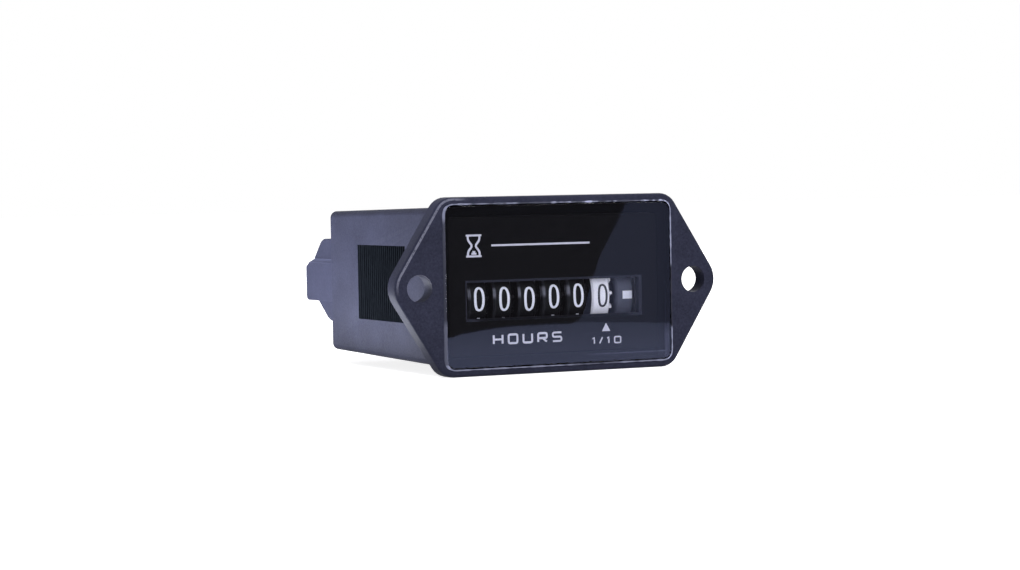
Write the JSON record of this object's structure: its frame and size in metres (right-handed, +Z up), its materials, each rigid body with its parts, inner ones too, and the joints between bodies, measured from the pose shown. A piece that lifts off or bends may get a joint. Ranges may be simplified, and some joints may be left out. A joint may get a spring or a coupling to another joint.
{
  "type": "hour meter",
  "caption": "Panel hour meter with a lugged flange, clear lens over a dark dial, number-wheel counter and run flag, tapered case and rear plug shroud with blade terminals.",
  "frame": {"origin": "centre of the flange's back face, midway between the two screw holes", "axes": "+X to the right of the face, +Y into the panel, +Z up"},
  "size_m": [0.0594, 0.0632, 0.0292],
  "materials": {
    "housing_plastic": "fine-grained dark grey moulding",
    "lens_clear": "clear polished",
    "dial_black": "satin black",
    "wheel_black": "satin black",
    "wheel_white": "satin white",
    "indicator_grey": "satin dark grey",
    "frame_grey": "satin grey",
    "gear_natural": "natural white",
    "steel": "turned",
    "contact_brass": "plain",
    "coil_copper": "enamelled wire",
    "magnet_grey": "sintered",
    "board_green": "solder mask",
    "chip_black": "moulded",
    "can_aluminium": "drawn can"
  },
  "bodies": {
    "meter_body": {"housing": "housing_plastic", "lens": "lens_clear", "dial_plate": "dial_black", "counter_frame": "frame_grey", "train_plate": "frame_grey", "train_screws": "steel", "wheel_shaft": "steel", "pinion_shaft": "steel", "gear_pin": "steel", "rotor_pin": "steel", "stator": "steel", "coil_core": "steel", "coil_bobbin": "gear_natural", "coil_winding": "coil_copper", "coil_pins": "contact_brass", "stator_screws": "steel", "circuit_board": "board_green", "timer_chip": "chip_black", "crystal": "can_aluminium", "capacitor": "can_aluminium", "resistor": "gear_natural", "diode": "chip_black", "terminal_left": "contact_brass", "terminal_right": "contact_brass"},
    "wheel_ten_thousands": {"wheel_ten_thousands": "wheel_black"},
    "wheel_thousands": {"wheel_thousands": "wheel_black"},
    "wheel_hundreds": {"wheel_hundreds": "wheel_black"},
    "wheel_tens": {"wheel_tens": "wheel_black"},
    "wheel_units": {"wheel_units": "wheel_black"},
    "wheel_tenths": {"wheel_tenths": "wheel_white"},
    "pinion_ten_thousands": {"pinion_ten_thousands": "gear_natural"},
    "pinion_thousands": {"pinion_thousands": "gear_natural"},
    "pinion_hundreds": {"pinion_hundreds": "gear_natural"},
    "pinion_tens": {"pinion_tens": "gear_natural"},
    "pinion_units": {"pinion_units": "gear_natural"},
    "run_indicator": {"run_indicator": "indicator_grey"},
    "drive_gear": {"drive_gear": "gear_natural"},
    "second_gear": {"second_gear": "gear_natural"},
    "rotor": {"rotor_pinion": "gear_natural", "rotor_magnet": "magnet_grey"}
  },
  "joints": [
    {"name": "wheel_ten_thousands_spin", "type": "hinge", "parent": "meter_body", "child": "wheel_ten_thousands", "pos_m": [0, 0.0086, -0.0024], "axis": [-1, 0, 0], "continuous": true},
    {"name": "wheel_thousands_spin", "type": "hinge", "parent": "meter_body", "child": "wheel_thousands", "pos_m": [0, 0.0086, -0.0024], "axis": [-1, 0, 0], "continuous": true},
    {"name": "wheel_hundreds_spin", "type": "hinge", "parent": "meter_body", "child": "wheel_hundreds", "pos_m": [0, 0.0086, -0.0024], "axis": [-1, 0, 0], "continuous": true},
    {"name": "wheel_tens_spin", "type": "hinge", "parent": "meter_body", "child": "wheel_tens", "pos_m": [0, 0.0086, -0.0024], "axis": [-1, 0, 0], "continuous": true},
    {"name": "wheel_units_spin", "type": "hinge", "parent": "meter_body", "child": "wheel_units", "pos_m": [0, 0.0086, -0.0024], "axis": [-1, 0, 0], "continuous": true},
    {"name": "wheel_tenths_spin", "type": "hinge", "parent": "meter_body", "child": "wheel_tenths", "pos_m": [0, 0.0086, -0.0024], "axis": [-1, 0, 0], "continuous": true},
    {"name": "pinion_ten_thousands_spin", "type": "hinge", "parent": "meter_body", "child": "pinion_ten_thousands", "pos_m": [0, 0.01807, 0.00014], "axis": [-1, 0, 0], "continuous": true},
    {"name": "pinion_thousands_spin", "type": "hinge", "parent": "meter_body", "child": "pinion_thousands", "pos_m": [0, 0.01807, 0.00014], "axis": [-1, 0, 0], "continuous": true},
    {"name": "pinion_hundreds_spin", "type": "hinge", "parent": "meter_body", "child": "pinion_hundreds", "pos_m": [0, 0.01807, 0.00014], "axis": [-1, 0, 0], "continuous": true},
    {"name": "pinion_tens_spin", "type": "hinge", "parent": "meter_body", "child": "pinion_tens", "pos_m": [0, 0.01807, 0.00014], "axis": [-1, 0, 0], "continuous": true},
    {"name": "pinion_units_spin", "type": "hinge", "parent": "meter_body", "child": "pinion_units", "pos_m": [0, 0.01807, 0.00014], "axis": [-1, 0, 0], "continuous": true},
    {"name": "run_indicator_spin", "type": "hinge", "parent": "meter_body", "child": "run_indicator", "pos_m": [0, 0.0086, -0.0024], "axis": [-1, 0, 0], "continuous": true},
    {"name": "drive_gear_spin", "type": "hinge", "parent": "meter_body", "child": "drive_gear", "pos_m": [0, 0.01807, 0.00014], "axis": [-1, 0, 0], "continuous": true},
    {"name": "second_gear_spin", "type": "hinge", "parent": "meter_body", "child": "second_gear", "pos_m": [0, 0.02693, 0.00099], "axis": [-1, 0, 0], "continuous": true},
    {"name": "rotor_spin", "type": "hinge", "parent": "meter_body", "child": "rotor", "pos_m": [0, 0.0353, 0.00019], "axis": [-1, 0, 0], "continuous": true}
  ],
  "couplings": [
    {"joint": "wheel_ten_thousands_spin", "follows": "wheel_tenths_spin", "ratio": 0.00001},
    {"joint": "wheel_thousands_spin", "follows": "wheel_tenths_spin", "ratio": 0.0001},
    {"joint": "wheel_hundreds_spin", "follows": "wheel_tenths_spin", "ratio": 0.001},
    {"joint": "wheel_tens_spin", "follows": "wheel_tenths_spin", "ratio": 0.01},
    {"joint": "wheel_units_spin", "follows": "wheel_tenths_spin", "ratio": 0.1},
    {"joint": "pinion_ten_thousands_spin", "follows": "wheel_tenths_spin", "ratio": -0.000025},
    {"joint": "pinion_thousands_spin", "follows": "wheel_tenths_spin", "ratio": -0.00025},
    {"joint": "pinion_hundreds_spin", "follows": "wheel_tenths_spin", "ratio": -0.0025},
    {"joint": "pinion_tens_spin", "follows": "wheel_tenths_spin", "ratio": -0.025},
    {"joint": "pinion_units_spin", "follows": "wheel_tenths_spin", "ratio": -0.25},
    {"joint": "run_indicator_spin", "follows": "wheel_tenths_spin", "ratio": 6.6667},
    {"joint": "drive_gear_spin", "follows": "wheel_tenths_spin", "ratio": -2.5},
    {"joint": "second_gear_spin", "follows": "wheel_tenths_spin", "ratio": 10},
    {"joint": "rotor_spin", "follows": "wheel_tenths_spin", "ratio": -50}
  ]
}
